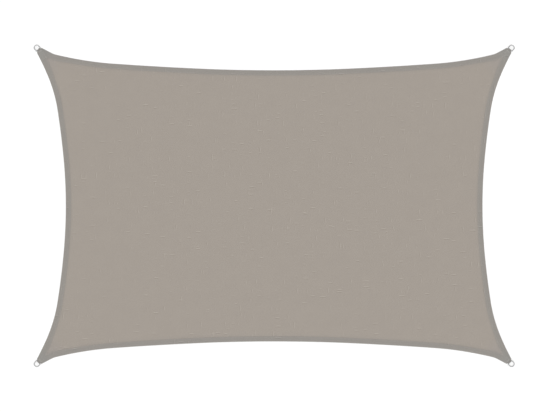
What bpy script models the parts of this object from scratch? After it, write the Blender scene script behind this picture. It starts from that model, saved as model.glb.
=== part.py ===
"""Rectangular shade sail, 3 m x 2 m, laid out flat.

Knitted cloth with inward-bowed edges and a hem turned on to its upper face. At
each corner a webbing loop, sewn into the hem, holds a steel D-ring.
Metres, +Z up. The cloth lies on z = 0, its length along X, centred on the origin.
"""

import math

import bmesh
import bpy
from mathutils import Matrix, Vector

COLLECTION = "shade_sail"
CUTTERS = "shade_sail_cutters"

# Outline of the cloth, one quarter of it. The other three are its mirror images.
HALF_LENGTH = 1.300  # centre to the middle of a short edge
HALF_WIDTH = 0.8458  # centre to the middle of a long edge

# Each edge bows inwards. Columns: distance from the edge's middle, how fast the
# edge runs outwards there, and how many straight pieces it takes to get there.
LONG_EDGE = (
    (0.000, 0.000, 0),
    (0.500, 0.047, 6),
    (1.000, 0.070, 6),
    (1.360, 0.242, 8),
    (1.395, 0.527, 5),
    (1.500, 0.532, 4),
)
SHORT_EDGE = (
    (0.000, 0.000, 0),
    (0.300, 0.095, 5),
    (0.600, 0.155, 5),
    (0.830, 0.436, 8),
    (1.000, 0.567, 6),
)

# Corners. The tip is the outermost point of the webbing, where it folds round the
# ring's bar. "Back" is measured from it along the corner's diagonal.
TIP = Vector((1.4730, 0.9781))
CORNERS = {"ne": (1, 1), "nw": (-1, 1), "sw": (-1, -1), "se": (1, -1)}
DIAGONAL = math.radians(45)
CLOTH_BACK = 0.0084
END_ROUND = 0.006  # the two corners of the cloth's end
END_ROUND_STEPS = 4

# Cloth and hem
CLOTH = 0.0010
HEM_TOP = 0.0024  # two layers and the thread between them
HEM_WIDTH = 0.032
HEM_WIDTH_AT_TIP = 0.042
HEM_WIDENS_OVER = 0.220  # the last stretch of each edge, where the hem gets wider
CORNER_UNDER = 0.0020  # the cloth and one hem, below the webbing
CORNER_OVER = 0.0012  # the other hem, above it

# Webbing loop
WEBBING = 0.0012
LOOP_WIDTH = 0.025
LEG = 0.034  # how far both ends of the webbing reach into the corner
CLEARANCE = 0.0003
BEND_STEPS = 12
LOOP_LIFT = 0.0001  # the fold's lowest point above the surface

# D-ring
WIRE = 0.005
RING_HALF_WIDTH = 0.016  # to the middle of the wire
RING_CORNER = 0.0035
BOW_CENTRE = 0.0124  # beyond the tip
BOW_STEPS = 17  # an odd number, so that a flat of the wire faces the bar
CORNER_STEPS = 4
WIRE_SIDES = 12

# Mound over each corner's webbing, as the points of its hull. Columns: how far back from
# the tip, half width, and height from inside the hem (0) to the top of the corner (1).
MOUND = (
    (CLOTH_BACK + 0.0008, 0.0142, 1.0),
    (CLOTH_BACK + 0.0008, 0.0152, 0.0),
    (0.048, 0.0142, 1.0),
    (0.048, 0.0250, 0.0),
    (0.080, 0.0300, 0.0),
)

# What follows from the sizes above
BAR_BACK = WIRE / 2 + CLEARANCE + WEBBING
BAR_HEIGHT = BAR_BACK + LOOP_LIFT
SLOT_TOP = CORNER_UNDER + 2 * WEBBING + 3 * CLEARANCE
CORNER_TOP = SLOT_TOP + CORNER_OVER
OVERSHOOT = 0.020  # how far a cutter runs past what it cuts
WELD = 1e-6
PARALLEL = 1e-12
HALVINGS = 50
SHARP_ANGLE = math.radians(40)


def clear_scene():
    for obj in list(bpy.data.objects):
        bpy.data.objects.remove(obj, do_unlink=True)


def new_collection(name):
    collection = bpy.data.collections.new(name)
    bpy.context.scene.collection.children.link(collection)
    return collection


def material(name, colour, roughness, metallic=0.0):
    mat = bpy.data.materials.new(name)
    mat.use_nodes = True
    shader = mat.node_tree.nodes["Principled BSDF"]
    shader.inputs["Base Color"].default_value = (*colour, 1.0)
    shader.inputs["Roughness"].default_value = roughness
    shader.inputs["Metallic"].default_value = metallic
    mat.diffuse_color = (*colour, 1.0)
    return mat


def cloth_material():
    return material("shade_cloth", (0.38, 0.34, 0.30), 0.85)


def webbing_material():
    return material("webbing", (0.22, 0.205, 0.185), 0.80)


def steel_material():
    return material("ring_steel", (0.62, 0.62, 0.63), 0.25, metallic=1.0)


def slope_at(edge, distance):
    """How fast an edge runs outwards at a distance from its middle."""
    for (near, slow, _), (far, fast, _) in zip(edge, edge[1:]):
        if distance <= far:
            return slow + (fast - slow) * (distance - near) / (far - near)
    return edge[-1][1]


def rise_at(edge, distance):
    """How far out an edge has run at a distance from its middle."""
    rise = 0.0
    for (near, slow, _), (far, _, _) in zip(edge, edge[1:]):
        reach = min(distance, far)
        if reach <= near:
            break
        rise += (slow + slope_at(edge, reach)) / 2 * (reach - near)
    return rise


def long_edge_point(distance):
    return Vector((distance, HALF_WIDTH + rise_at(LONG_EDGE, distance)))


def short_edge_point(distance):
    return Vector((HALF_LENGTH + rise_at(SHORT_EDGE, distance), distance))


def behind_tip(point):
    """How far a point of the first quarter lies behind the tip."""
    outwards = Vector((math.cos(DIAGONAL), math.sin(DIAGONAL)))
    return (TIP - point).dot(outwards)


def edge_end(edge_point, edge):
    """Where an edge meets the straight end of the cloth at the corner."""
    low, high = 0.0, edge[-1][0]
    for _ in range(HALVINGS):
        middle = (low + high) / 2
        if behind_tip(edge_point(middle)) > CLOTH_BACK:
            low = middle
        else:
            high = middle
    return low


def stations(edge, end):
    """Distances from the edge's middle to its end, closer where it turns faster."""
    found = [0.0]
    for (near, _, _), (far, _, steps) in zip(edge, edge[1:]):
        reach = min(far, end)
        if reach <= near:
            break
        found += [near + (reach - near) * (k + 1) / steps for k in range(steps)]
    return found


def hem_width(distance, end):
    """The hem keeps its width along the edge, and widens smoothly towards the tip."""
    t = (distance - (end - HEM_WIDENS_OVER)) / HEM_WIDENS_OVER
    t = min(max(t, 0.0), 1.0)
    return HEM_WIDTH + (HEM_WIDTH_AT_TIP - HEM_WIDTH) * t * t * (3 - 2 * t)


def long_edge_hem_point(distance, end):
    inwards = Vector((slope_at(LONG_EDGE, distance), -1.0)).normalized()
    return long_edge_point(distance) + hem_width(distance, end) * inwards


def short_edge_hem_point(distance, end):
    inwards = Vector((-1.0, slope_at(SHORT_EDGE, distance))).normalized()
    return short_edge_point(distance) + hem_width(distance, end) * inwards


def crossing(a, b, c, d):
    """Where the segments a-b and c-d cross, or None."""
    r, s = b - a, d - c
    across = r.x * s.y - r.y * s.x
    if abs(across) < PARALLEL:
        return None
    q = c - a
    t = (q.x * s.y - q.y * s.x) / across
    u = (q.x * r.y - q.y * r.x) / across
    return a + r * t if 0 <= t <= 1 and 0 <= u <= 1 else None


def joined_where_they_cross(one, other):
    """Two polylines as one: along the first to where they cross, back on the second."""
    for i in range(len(one) - 1):
        for j in range(len(other) - 1):
            met = crossing(one[i], one[i + 1], other[j], other[j + 1])
            if met:
                return one[: i + 1] + [met] + other[: j + 1][::-1]
    raise ValueError("the hem's inner lines don't meet")


def rounded(before, corner, after):
    """A corner's point as a short curve."""
    start = corner + (before - corner).normalized() * END_ROUND
    finish = corner + (after - corner).normalized() * END_ROUND
    shares = [k / END_ROUND_STEPS for k in range(END_ROUND_STEPS + 1)]
    return [(1 - t) ** 2 * start + 2 * t * (1 - t) * corner + t * t * finish for t in shares]


def quarter_outline():
    """The cloth's edge from the middle of a long edge to the middle of a short one."""
    long_end = edge_end(long_edge_point, LONG_EDGE)
    short_end = edge_end(short_edge_point, SHORT_EDGE)
    one = [long_edge_point(d) for d in stations(LONG_EDGE, long_end)]
    other = [short_edge_point(d) for d in stations(SHORT_EDGE, short_end)]
    end = rounded(one[-2], one[-1], other[-1]) + rounded(one[-1], other[-1], other[-2])
    return one[:-1] + end + other[-2::-1]


def quarter_hem_line():
    """The hem's inner line, over the same quarter."""
    long_end = edge_end(long_edge_point, LONG_EDGE)
    short_end = edge_end(short_edge_point, SHORT_EDGE)
    one = [long_edge_hem_point(d, long_end) for d in stations(LONG_EDGE, long_end)]
    other = [short_edge_hem_point(d, short_end) for d in stations(SHORT_EDGE, short_end)]
    return joined_where_they_cross(one, other)


def all_round(quarter):
    """A closed outline, counter-clockwise, from one quarter that starts at x = 0 and ends at y = 0."""
    back = quarter[::-1]
    right = back + [Vector((-p.x, p.y)) for p in quarter[1:]]
    left = [Vector((-p.x, -p.y)) for p in back[1:]]
    return right + left + [Vector((p.x, -p.y)) for p in quarter[1:-1]]


def flat_shape(name, outline, low, high):
    """A flat plate with the given outline between two heights, as a 2D curve."""
    curve = bpy.data.curves.new(name, "CURVE")
    curve.dimensions = "2D"
    curve.fill_mode = "BOTH"
    curve.extrude = (high - low) / 2
    spline = curve.splines.new("POLY")
    spline.points.add(len(outline) - 1)
    for point, place in zip(spline.points, outline):
        point.co = (place.x, place.y, 0.0, 1.0)
    spline.use_cyclic_u = True
    obj = bpy.data.objects.new(name, curve)
    obj.location.z = (low + high) / 2
    return obj


def as_mesh(obj, collection):
    """The same object as a welded mesh, which a Boolean can cut or use."""
    bpy.context.scene.collection.objects.link(obj)
    bpy.context.view_layer.update()
    evaluated = obj.evaluated_get(bpy.context.evaluated_depsgraph_get())
    mesh = bpy.data.meshes.new_from_object(evaluated)
    welded = bmesh.new()
    welded.from_mesh(mesh)
    bmesh.ops.remove_doubles(welded, verts=welded.verts, dist=WELD)
    bmesh.ops.recalc_face_normals(welded, faces=welded.faces)
    welded.to_mesh(mesh)
    welded.free()
    name, place, source = obj.name, obj.matrix_world.copy(), obj.data
    bpy.data.objects.remove(obj)
    bpy.data.curves.remove(source)
    mesh.name = name
    solid = bpy.data.objects.new(name, mesh)
    solid.matrix_world = place
    collection.objects.link(solid)
    return solid


def as_cutter(obj):
    obj.hide_render = True
    obj.display_type = "WIRE"
    return obj


def corner_frame(corner):
    """A frame at a corner's tip: X outwards along the diagonal, Z up."""
    side_x, side_y = CORNERS[corner]
    heading = math.atan2(side_y * math.sin(DIAGONAL), side_x * math.cos(DIAGONAL))
    place = Matrix.Translation((side_x * TIP.x, side_y * TIP.y, 0.0))
    return place @ Matrix.Rotation(heading, 4, "Z")


def field_cutter(cutters):
    """Leaves a single layer of cloth inside the hem's inner line."""
    hem_line = all_round(quarter_hem_line())
    plate = flat_shape("above_field", hem_line, CLOTH, CLOTH + OVERSHOOT)
    return as_cutter(as_mesh(plate, cutters))


def corner_shape(name, shape, corner, cutters):
    """A closed mesh in a corner's frame, as an object that a Boolean can use."""
    mesh = bpy.data.meshes.new(name)
    shape.to_mesh(mesh)
    shape.free()
    obj = bpy.data.objects.new(name, mesh)
    obj.matrix_world = corner_frame(corner)
    cutters.objects.link(obj)
    return as_cutter(obj)


def mound(corner, cutters):
    """The hem where it bulges over the webbing, highest along the middle of the corner."""
    foot = HEM_TOP / 2
    shape = bmesh.new()
    for back, half_width, share in MOUND:
        height = foot + share * (CORNER_TOP - foot)
        for side in (-1, 1):
            shape.verts.new((-back, side * half_width, height))
    bmesh.ops.convex_hull(shape, input=shape.verts)
    bmesh.ops.recalc_face_normals(shape, faces=shape.faces)
    return corner_shape(f"mound_{corner}", shape, corner, cutters)


def slot(corner, cutters):
    """The open-ended pocket in a corner that the two ends of the webbing are sewn into."""
    back = CLOTH_BACK + LEG + CLEARANCE
    size = (back + OVERSHOOT, LOOP_WIDTH + 2 * CLEARANCE, SLOT_TOP - CORNER_UNDER)
    centre = ((OVERSHOOT - back) / 2, 0.0, (SLOT_TOP + CORNER_UNDER) / 2)
    shape = bmesh.new()
    bmesh.ops.create_cube(shape, size=1.0, matrix=Matrix.Diagonal((*size, 1.0)))
    bmesh.ops.translate(shape, verts=shape.verts, vec=centre)
    return corner_shape(f"slot_{corner}", shape, corner, cutters)


def combine(obj, other, operation):
    modifier = obj.modifiers.new(other.name, "BOOLEAN")
    modifier.operation = operation
    modifier.solver = "EXACT"
    modifier.object = other


def panel(collection, cutters):
    """The cloth: one layer in the field, two in the hem, and a bulge with a pocket at each corner."""
    plate = flat_shape("panel", all_round(quarter_outline()), 0.0, HEM_TOP)
    obj = as_mesh(plate, collection)
    obj.data.materials.append(cloth_material())
    combine(obj, field_cutter(cutters), "DIFFERENCE")
    for corner in CORNERS:
        combine(obj, mound(corner, cutters), "UNION")
        combine(obj, slot(corner, cutters), "DIFFERENCE")
    return obj


def loop_path():
    """The middle of the webbing, seen from its side: out of the corner, round the bar and back."""
    bar = Vector((-BAR_BACK, BAR_HEIGHT))
    radius = WIRE / 2 + CLEARANCE + WEBBING / 2
    end = -(CLOTH_BACK + LEG)
    mouth = -CLOTH_BACK + WEBBING / 3
    low = CORNER_UNDER + CLEARANCE + WEBBING / 2
    high = low + WEBBING + CLEARANCE
    from_low, from_high = bar - Vector((mouth, low)), bar - Vector((mouth, high))
    down = math.asin(radius / from_low.length) - math.atan2(from_low.y, from_low.x)
    up = math.asin(radius / from_high.length) + math.atan2(from_high.y, from_high.x)
    start, turn = -math.pi / 2 - down, math.pi + down + up
    angles = [start + turn * k / BEND_STEPS for k in range(BEND_STEPS + 1)]
    bend = [bar + radius * Vector((math.cos(a), math.sin(a))) for a in angles]
    return [Vector((end, low)), Vector((mouth, low)), *bend, Vector((mouth, high)), Vector((end, high))]


def beside(path, distance):
    """The path moved sideways, to its left, with mitred corners."""
    along = [(b - a).normalized() for a, b in zip(path, path[1:])]
    before, after = [along[0], *along], [*along, along[-1]]
    moved = []
    for point, one, other in zip(path, before, after):
        middle = (one + other).normalized()
        left = Vector((-middle.y, middle.x))
        moved.append(point + left * distance / middle.dot(other))
    return moved


def loop_mesh():
    """The webbing loop in its corner's frame, its side view drawn out across the webbing's width."""
    path = loop_path()
    outline = beside(path, -WEBBING / 2) + beside(path, WEBBING / 2)[::-1]
    curve = flat_shape("corner_loop", outline, -LOOP_WIDTH / 2, LOOP_WIDTH / 2)
    holder = bpy.data.collections.new("loop_holder")
    obj = as_mesh(curve, holder)
    mesh = obj.data
    mesh.transform(Matrix.Rotation(math.pi / 2, 4, "X"))
    mesh.materials.append(webbing_material())
    mesh.shade_smooth()
    mesh.set_sharp_from_angle(angle=SHARP_ANGLE)
    bpy.data.objects.remove(obj)
    bpy.data.collections.remove(holder)
    return mesh


def ring_path():
    """The middle of the ring's wire: bar, rounded corners, legs and a half-round bow."""
    bow_x = BAR_BACK + BOW_CENTRE
    turn = RING_HALF_WIDTH - RING_CORNER
    points = []
    for k in range(CORNER_STEPS + 1):
        a = math.pi + math.pi / 2 * k / CORNER_STEPS
        points.append((RING_CORNER + RING_CORNER * math.cos(a), -turn + RING_CORNER * math.sin(a)))
    for k in range(BOW_STEPS + 1):
        a = -math.pi / 2 + math.pi * k / BOW_STEPS
        points.append((bow_x + RING_HALF_WIDTH * math.cos(a), RING_HALF_WIDTH * math.sin(a)))
    for k in range(CORNER_STEPS + 1):
        a = math.pi / 2 + math.pi / 2 * k / CORNER_STEPS
        points.append((RING_CORNER + RING_CORNER * math.cos(a), turn + RING_CORNER * math.sin(a)))
    return points


def ring_curve():
    """A bent wire, closed on itself, with a flat of its twelve sides facing inwards."""
    curve = bpy.data.curves.new("d_ring", "CURVE")
    curve.dimensions = "3D"
    curve.twist_mode = "Z_UP"
    curve.bevel_depth = WIRE / 2
    curve.bevel_resolution = (WIRE_SIDES - 4) // 2
    spline = curve.splines.new("POLY")
    path = ring_path()
    spline.points.add(len(path) - 1)
    for point, (x, y) in zip(spline.points, path):
        point.co = (x, y, 0.0, 1.0)
        point.tilt = math.pi / WIRE_SIDES
    spline.use_cyclic_u = True
    spline.use_smooth = True
    curve.materials.append(steel_material())
    return curve


def ring_tilt():
    """The ring leans down from its loop until its bow lies on the surface."""
    reach = BAR_BACK + BOW_CENTRE + RING_HALF_WIDTH
    return math.asin((BAR_HEIGHT - WIRE / 2) / reach)


def place_corners(collection):
    """A loop and a ring at each corner, on an empty at its tip."""
    loop, ring = loop_mesh(), ring_curve()
    for corner in CORNERS:
        tip = bpy.data.objects.new(f"tip_{corner}", None)
        tip.empty_display_size = RING_HALF_WIDTH
        tip.matrix_world = corner_frame(corner)
        webbing = bpy.data.objects.new(f"corner_loop_{corner}", loop)
        steel = bpy.data.objects.new(f"d_ring_{corner}", ring)
        steel.location = (-BAR_BACK, 0.0, BAR_HEIGHT)
        steel.rotation_euler.y = ring_tilt()
        for obj in (tip, webbing, steel):
            collection.objects.link(obj)
        webbing.parent = tip
        steel.parent = tip


def main():
    clear_scene()
    collection = new_collection(COLLECTION)
    cutters = new_collection(CUTTERS)
    panel(collection, cutters)
    place_corners(collection)


main()
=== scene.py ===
"""Looks of a rectangular shade sail, 3 m x 2 m, laid out flat and seen from straight above.

The knitted cloth has inward-bowed edges, and a hem turned on to its upper face with two rows
of stitching. At each corner a webbing loop, sewn into the hem, holds a steel D-ring.
Metres, +Z up. The cloth lies on z = 0, its length along X, centred on the origin.
"""

import math

import bpy
import numpy as np
from mathutils import Matrix, Vector, geometry, kdtree, noise


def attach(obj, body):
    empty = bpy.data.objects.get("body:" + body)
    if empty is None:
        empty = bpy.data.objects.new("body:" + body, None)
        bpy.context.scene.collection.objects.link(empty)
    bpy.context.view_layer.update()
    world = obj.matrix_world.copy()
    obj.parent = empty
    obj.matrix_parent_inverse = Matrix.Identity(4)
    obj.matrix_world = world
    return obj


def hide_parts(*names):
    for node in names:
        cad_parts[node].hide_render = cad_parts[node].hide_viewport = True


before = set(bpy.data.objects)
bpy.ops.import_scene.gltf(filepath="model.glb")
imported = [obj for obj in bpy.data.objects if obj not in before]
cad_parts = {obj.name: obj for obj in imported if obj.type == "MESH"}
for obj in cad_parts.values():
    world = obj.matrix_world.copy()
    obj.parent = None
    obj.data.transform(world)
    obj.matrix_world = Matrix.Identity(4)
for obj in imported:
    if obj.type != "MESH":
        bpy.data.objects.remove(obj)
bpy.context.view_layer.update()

TURN = 2 * math.pi

# Outline of the cloth, one quarter of it. The other three are its mirror images.
HALF_LENGTH = 1.300  # centre to the middle of a short edge
HALF_WIDTH = 0.8458  # centre to the middle of a long edge

# Each edge bows inwards. Columns: distance from the edge's middle, and how fast the edge runs
# outwards there.
LONG_EDGE = ((0.0, 0.0), (0.5, 0.047), (1.0, 0.070), (1.36, 0.242), (1.395, 0.527), (1.5, 0.532))
SHORT_EDGE = ((0.0, 0.0), (0.3, 0.095), (0.6, 0.155), (0.83, 0.436), (1.0, 0.567))

# Corners. The tip is the outermost point of the webbing. "Back" is measured from it along the
# corner's diagonal, and "across" at right angles to that.
TIP = Vector((1.4730, 0.9781))
CORNERS = {"ne": (1, 1), "nw": (-1, 1), "sw": (-1, -1), "se": (1, -1)}
OUTWARDS = Vector((math.sqrt(0.5), math.sqrt(0.5)))
ACROSS = Vector((-math.sqrt(0.5), math.sqrt(0.5)))
CLOTH_BACK = 0.0084
END_ROUND = 0.006
END_BOW = 0.0002  # the straight end bows outwards, so that no three of its points are in line
END_STEPS = 4  # points on each half of it

# Cloth and hem. A pair in brackets is where something starts and over what length it grows, or
# falls where that is negative.
STATION = 0.004  # spacing of the points along the edge
CLOTH = 0.0010
HEM_TOP = 0.0023
HEM_LIP = 0.0018  # the hem's height where its turned-in end lies on the field
HEM_CROWN = 0.0002  # the hem's two layers lie a little apart between fold and stitching
HEM_RISES, CROWN_RISES = (0.0, 0.009), (0.008, 0.007)  # outwards from the hem's inner line
CROWN_FALLS = (0.0, 0.010)  # in from the edge
HEM_WIDTH = 0.032
HEM_WIDTH_AT_TIP = 0.042
HEM_WIDENS_OVER = 0.220
FOLD = 0.0011  # how far the rounded fold reaches in from the edge
SEAM_ROWS = (0.0024, 0.0076)  # outwards from the hem's inner line
SEAM_DIP, SEAM_DIP_HALF = 0.00016, 0.0011
SEAM_GROOVE, SEAM_GROOVE_HALF = 0.00040, 0.0013  # the same rows on the underside
SEAM_PITCH = 0.0040
SEAM_STITCH = 0.0031
THREAD = 0.00036  # radius
RISE = 0.00022  # how far a stitch arches off the cloth
RISE_BELOW = 0.00004  # the same on the underside, which lies on the surface

# Pocket for the two ends of the webbing, and the bulge over it
POCKET_LOW = 0.0020
POCKET_HIGH = 0.0053
POCKET_HALF = 0.0128
POCKET_DEEP = 0.0427
CORNER_TOP = 0.0065
BULGE_TOP_HALF = 0.0131
BULGE_FOOT_HALF = 0.0172
BULGE_WIDENS = 0.24  # how fast its foot widens away from the mouth
BULGE_ENDS = (0.078, -0.034)
LAP = 0.00045  # the step where the hem of one edge lies over that of the next
LAP_RISES, LAP_FALLS, LAP_SIDE = (0.046, 0.012), (0.090, -0.010), (-0.0006, 0.0012)
CORNER_REACH = 0.12  # how far back all of this is felt

# Webbing loop
WEBBING = 0.0012
LOOP_WIDTH = 0.025
LEG = 0.034
LEG_ROWS = (-0.024, -0.012)  # places along it
LOOP_COLUMNS = 60
LOOP_EDGE = (0.35, 0.0007)  # its share of thickness, and the distance in that adds a whole one
CLEARANCE = 0.0003
LOOP_LIFT = 0.0001
RIB = 0.00007  # height of the webbing's ribs
RIBS = 15
WEFT = 0.0019  # spacing of its cross threads
TWILL = 0.0010  # spacing of its diagonals, along it

# D-ring
WIRE = 0.005
RING_HALF_WIDTH = 0.016
RING_CORNER = 0.0035
BOW_CENTRE = 0.0124
BEAD, BEAD_HALF = 0.00015, 0.0012  # the weld
BAR_BACK = WIRE / 2 + CLEARANCE + WEBBING
BAR_HEIGHT = BAR_BACK + LOOP_LIFT

# The view: where the sail's centre lies in the picture, and the width that the picture takes in
PICTURE = (550, 412)
CENTRE_PIXEL = (274.15, 205.88)
VIEW_WIDTH = 3.433
EYE = 12.0


# ---- outline


def slope_at(edge, distance):
    for (near, slow), (far, fast) in zip(edge, edge[1:]):
        if distance <= far:
            return slow + (fast - slow) * (distance - near) / (far - near)
    return edge[-1][1]


def rise_at(edge, distance):
    rise = 0.0
    for (near, slow), (far, _) in zip(edge, edge[1:]):
        reach = min(distance, far)
        if reach <= near:
            break
        rise += (slow + slope_at(edge, reach)) / 2 * (reach - near)
    return rise


def long_edge_point(distance):
    return Vector((distance, HALF_WIDTH + rise_at(LONG_EDGE, distance)))


def short_edge_point(distance):
    return Vector((HALF_LENGTH + rise_at(SHORT_EDGE, distance), distance))


def edge_end(edge_point, edge):
    """Where an edge meets the straight end of the cloth at the corner."""
    low, high = 0.0, edge[-1][0]
    for _ in range(50):
        middle = (low + high) / 2
        if (TIP - edge_point(middle)).dot(OUTWARDS) > CLOTH_BACK:
            low = middle
        else:
            high = middle
    return low


LONG_END = edge_end(long_edge_point, LONG_EDGE)
SHORT_END = edge_end(short_edge_point, SHORT_EDGE)


def straight_ramp(value, start, length):
    """From 0 at the start to 1 at the end of a length, which is negative for the other way."""
    return min(max((value - start) / length, 0.0), 1.0)


def ramp(value, start, length):
    t = straight_ramp(value, start, length)
    return t * t * (3 - 2 * t)


def bell(t):
    return math.exp(-(t**2))


def part_way(one, other, share):
    return one + (other - one) * share


def hem_width(distance, end):
    wider = ramp(distance, end - HEM_WIDENS_OVER, HEM_WIDENS_OVER)
    return part_way(HEM_WIDTH, HEM_WIDTH_AT_TIP, wider)


def evenly(end):
    count = math.ceil(end / STATION)
    return [end * k / count for k in range(count + 1)]


def rounded(before, corner, after, steps=12):
    start = corner + (before - corner).normalized() * END_ROUND
    finish = corner + (after - corner).normalized() * END_ROUND
    return [(1 - t) ** 2 * start + 2 * t * (1 - t) * corner + t * t * finish
            for t in (k / steps for k in range(steps + 1))]


def quarter_outline():
    """The cloth's edge from the middle of a long edge to the middle of a short one."""
    one = [long_edge_point(d) for d in evenly(LONG_END)]
    other = [short_edge_point(d) for d in evenly(SHORT_END)]
    corner, next_corner = one[-1], other[-1]
    first = rounded(one[-2], corner, next_corner)
    second = rounded(corner, next_corner, other[-2])
    straight = []
    for k in range(-END_STEPS, END_STEPS + 1):
        share = k / END_STEPS
        back = CLOTH_BACK - END_BOW * (1 - 0.8 * share**2)
        straight.append(TIP - OUTWARDS * back - ACROSS * POCKET_HALF * share)
    one = [p for p in one if (p - corner).length > END_ROUND + STATION / 2]
    other = [p for p in other if (p - next_corner).length > END_ROUND + STATION / 2]
    return one + first + straight + second + other[::-1]


def crossing(a, b, c, d):
    """Where the segments a-b and c-d cross, or None."""
    r, s = b - a, d - c
    turn = r.x * s.y - r.y * s.x
    if abs(turn) < 1e-12:
        return None
    q = c - a
    t = (q.x * s.y - q.y * s.x) / turn
    u = (q.x * r.y - q.y * r.x) / turn
    return a + r * t if 0 <= t <= 1 and 0 <= u <= 1 else None


def quarter_hem_line():
    """The hem's inner line over the same quarter, its two sides cut where they cross."""
    one, other = [], []
    for d in evenly(LONG_END):
        inwards = Vector((slope_at(LONG_EDGE, d), -1.0)).normalized()
        one.append(long_edge_point(d) + hem_width(d, LONG_END) * inwards)
    for d in evenly(SHORT_END):
        inwards = Vector((-1.0, slope_at(SHORT_EDGE, d))).normalized()
        other.append(short_edge_point(d) + hem_width(d, SHORT_END) * inwards)
    for i in range(len(one) // 2, len(one) - 1):
        for j in range(len(other) // 2, len(other) - 1):
            met = crossing(one[i], one[i + 1], other[j], other[j + 1])
            if met:
                one, other = one[: i + 1], other[: j + 1]
                if (one[-1] - met).length < STATION / 3:
                    one.pop()
                if (other[-1] - met).length < STATION / 3:
                    other.pop()
                return one + [met] + other[::-1]
    raise ValueError("the hem's inner lines don't meet")


def all_round(quarter):
    """A closed line, counter-clockwise, from one quarter of it."""
    back = quarter[::-1]
    right = back + [Vector((-p.x, p.y)) for p in quarter[1:]]
    left = [Vector((-p.x, -p.y)) for p in back[1:]]
    return right + left + [Vector((p.x, -p.y)) for p in quarter[1:-1]]


class Loop:
    """A closed line, counter-clockwise, that places can be measured from."""

    def __init__(self, points):
        self.points = np.array([tuple(p) for p in points])
        ahead = np.roll(self.points, -1, axis=0) - self.points
        lengths = np.hypot(ahead[:, 0], ahead[:, 1])
        self.total = float(lengths.sum())
        self.along = np.concatenate(([0.0], np.cumsum(lengths)[:-1]))
        ahead /= lengths[:, None]
        behind = np.roll(ahead, 1, axis=0)
        middle = ahead + behind
        middle /= np.hypot(middle[:, 0], middle[:, 1])[:, None]
        self.tangents = middle
        self.inwards = np.stack((-middle[:, 1], middle[:, 0]), axis=1)
        mitre = 1 / np.maximum((middle * ahead).sum(axis=1), 0.5)
        self.mitred = self.inwards * mitre[:, None]
        self.tree = kdtree.KDTree(len(self.points))
        for k, (x, y) in enumerate(self.points):
            self.tree.insert((x, y, 0.0), k)
        self.tree.balance()

    def moved(self, distance):
        """The line moved inwards, or outwards where the distance is negative."""
        return self.points + self.mitred * distance

    def place(self, x, y):
        """How far inside the line a place is, and where along the line."""
        _, k, _ = self.tree.find((x, y, 0.0))
        dx, dy = x - self.points[k, 0], y - self.points[k, 1]
        inside = dx * self.inwards[k, 0] + dy * self.inwards[k, 1]
        on = dx * self.tangents[k, 0] + dy * self.tangents[k, 1]
        return inside, self.along[k] + on


outline = Loop(all_round(quarter_outline()))
hem_line = Loop(all_round(quarter_hem_line()))


def corner_place(x, y):
    """(back, across) of a place from the tip of its own corner."""
    from_tip = TIP - Vector((abs(x), abs(y)))
    return from_tip.dot(OUTWARDS), from_tip.dot(ACROSS)


def at_corner(back, across, side_x, side_y):
    """The other way round: the place that far back and across from the tip of a corner."""
    spot = TIP - OUTWARDS * back - ACROSS * across
    return spot.x * side_x, spot.y * side_y


# ---- heights


# Soft ridges where the cloth is drawn towards a corner, each listed. Columns: corner,
# degrees off the diagonal, first and last distance from the tip, half width, height.
RIDGES = (
    ("ne", -11.0, 0.12, 0.46, 0.013, 0.0011),
    ("ne", 6.5, 0.11, 0.38, 0.011, 0.0009),
    ("nw", -4.0, 0.12, 0.52, 0.014, 0.0012),
    ("nw", 13.0, 0.13, 0.36, 0.010, 0.0008),
    ("sw", -8.0, 0.11, 0.41, 0.012, 0.0010),
    ("sw", 9.5, 0.12, 0.49, 0.013, 0.0010),
    ("se", -13.5, 0.13, 0.37, 0.010, 0.0008),
    ("se", 3.0, 0.11, 0.50, 0.014, 0.0012),
)
RIDGES_BEYOND = (0.9, 0.5)  # the field nearer the centre has none
RIDGE_SWAY, RIDGE_SWAY_LENGTH = 0.006, 0.06
RIDGE_RISES_OVER, RIDGE_FALLS_OVER = 0.10, 0.20

# The slow rise and fall. Columns: height, its lengths along X and Y, and where its noise starts.
SWELL = ((0.0013, 0.37, 0.29, 3.1), (0.0005, 0.11, 0.14, 8.7))
SWELL_AT_EDGE = 0.3  # the share of it that is left there
SWELL_GROWS_OVER = 0.12
SWELL_FROM_TIP = 0.07

# Waves along the seam
PUCKER = 0.00030
PUCKER_CENTRE = 0.004  # outwards from the hem's inner line
PUCKER_HALF = 0.014
PUCKER_REACH = 0.04
PUCKER_WAVE, PUCKER_ACROSS = 0.0115, 0.03  # lengths along the seam and across it
PUCKER_FROM_TIP = (0.05, 0.06)


def ridges(x, y):
    height = 0.0
    for corner, degrees, first, last, half, high in RIDGES:
        side_x, side_y = CORNERS[corner]
        if x * side_x < RIDGES_BEYOND[0] or y * side_y < RIDGES_BEYOND[1]:
            continue
        heading = math.radians(45 + degrees)
        back_x, back_y = TIP.x - x * side_x, TIP.y - y * side_y
        reach = back_x * math.cos(heading) + back_y * math.sin(heading)
        off = -back_x * math.sin(heading) + back_y * math.cos(heading)
        off += RIDGE_SWAY * math.sin(reach / RIDGE_SWAY_LENGTH)
        ends = ramp(reach, first, RIDGE_RISES_OVER) * ramp(reach, last, -RIDGE_FALLS_OVER)
        height += high * ends * bell(off / half)
    return height


def swell(x, y, inside):
    """The cloth's slow rise and fall, and it lies flatter along its edges and at its corners."""
    back, across = corner_place(x, y)
    near = math.hypot(back, across)
    height = sum(high * (0.5 + 0.5 * noise.noise((x / long, y / wide, start)))
                 for high, long, wide, start in SWELL)
    in_field = part_way(SWELL_AT_EDGE, 1.0, ramp(inside, 0.0, SWELL_GROWS_OVER))
    return height * in_field * ramp(near, SWELL_FROM_TIP, SWELL_GROWS_OVER)


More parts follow.
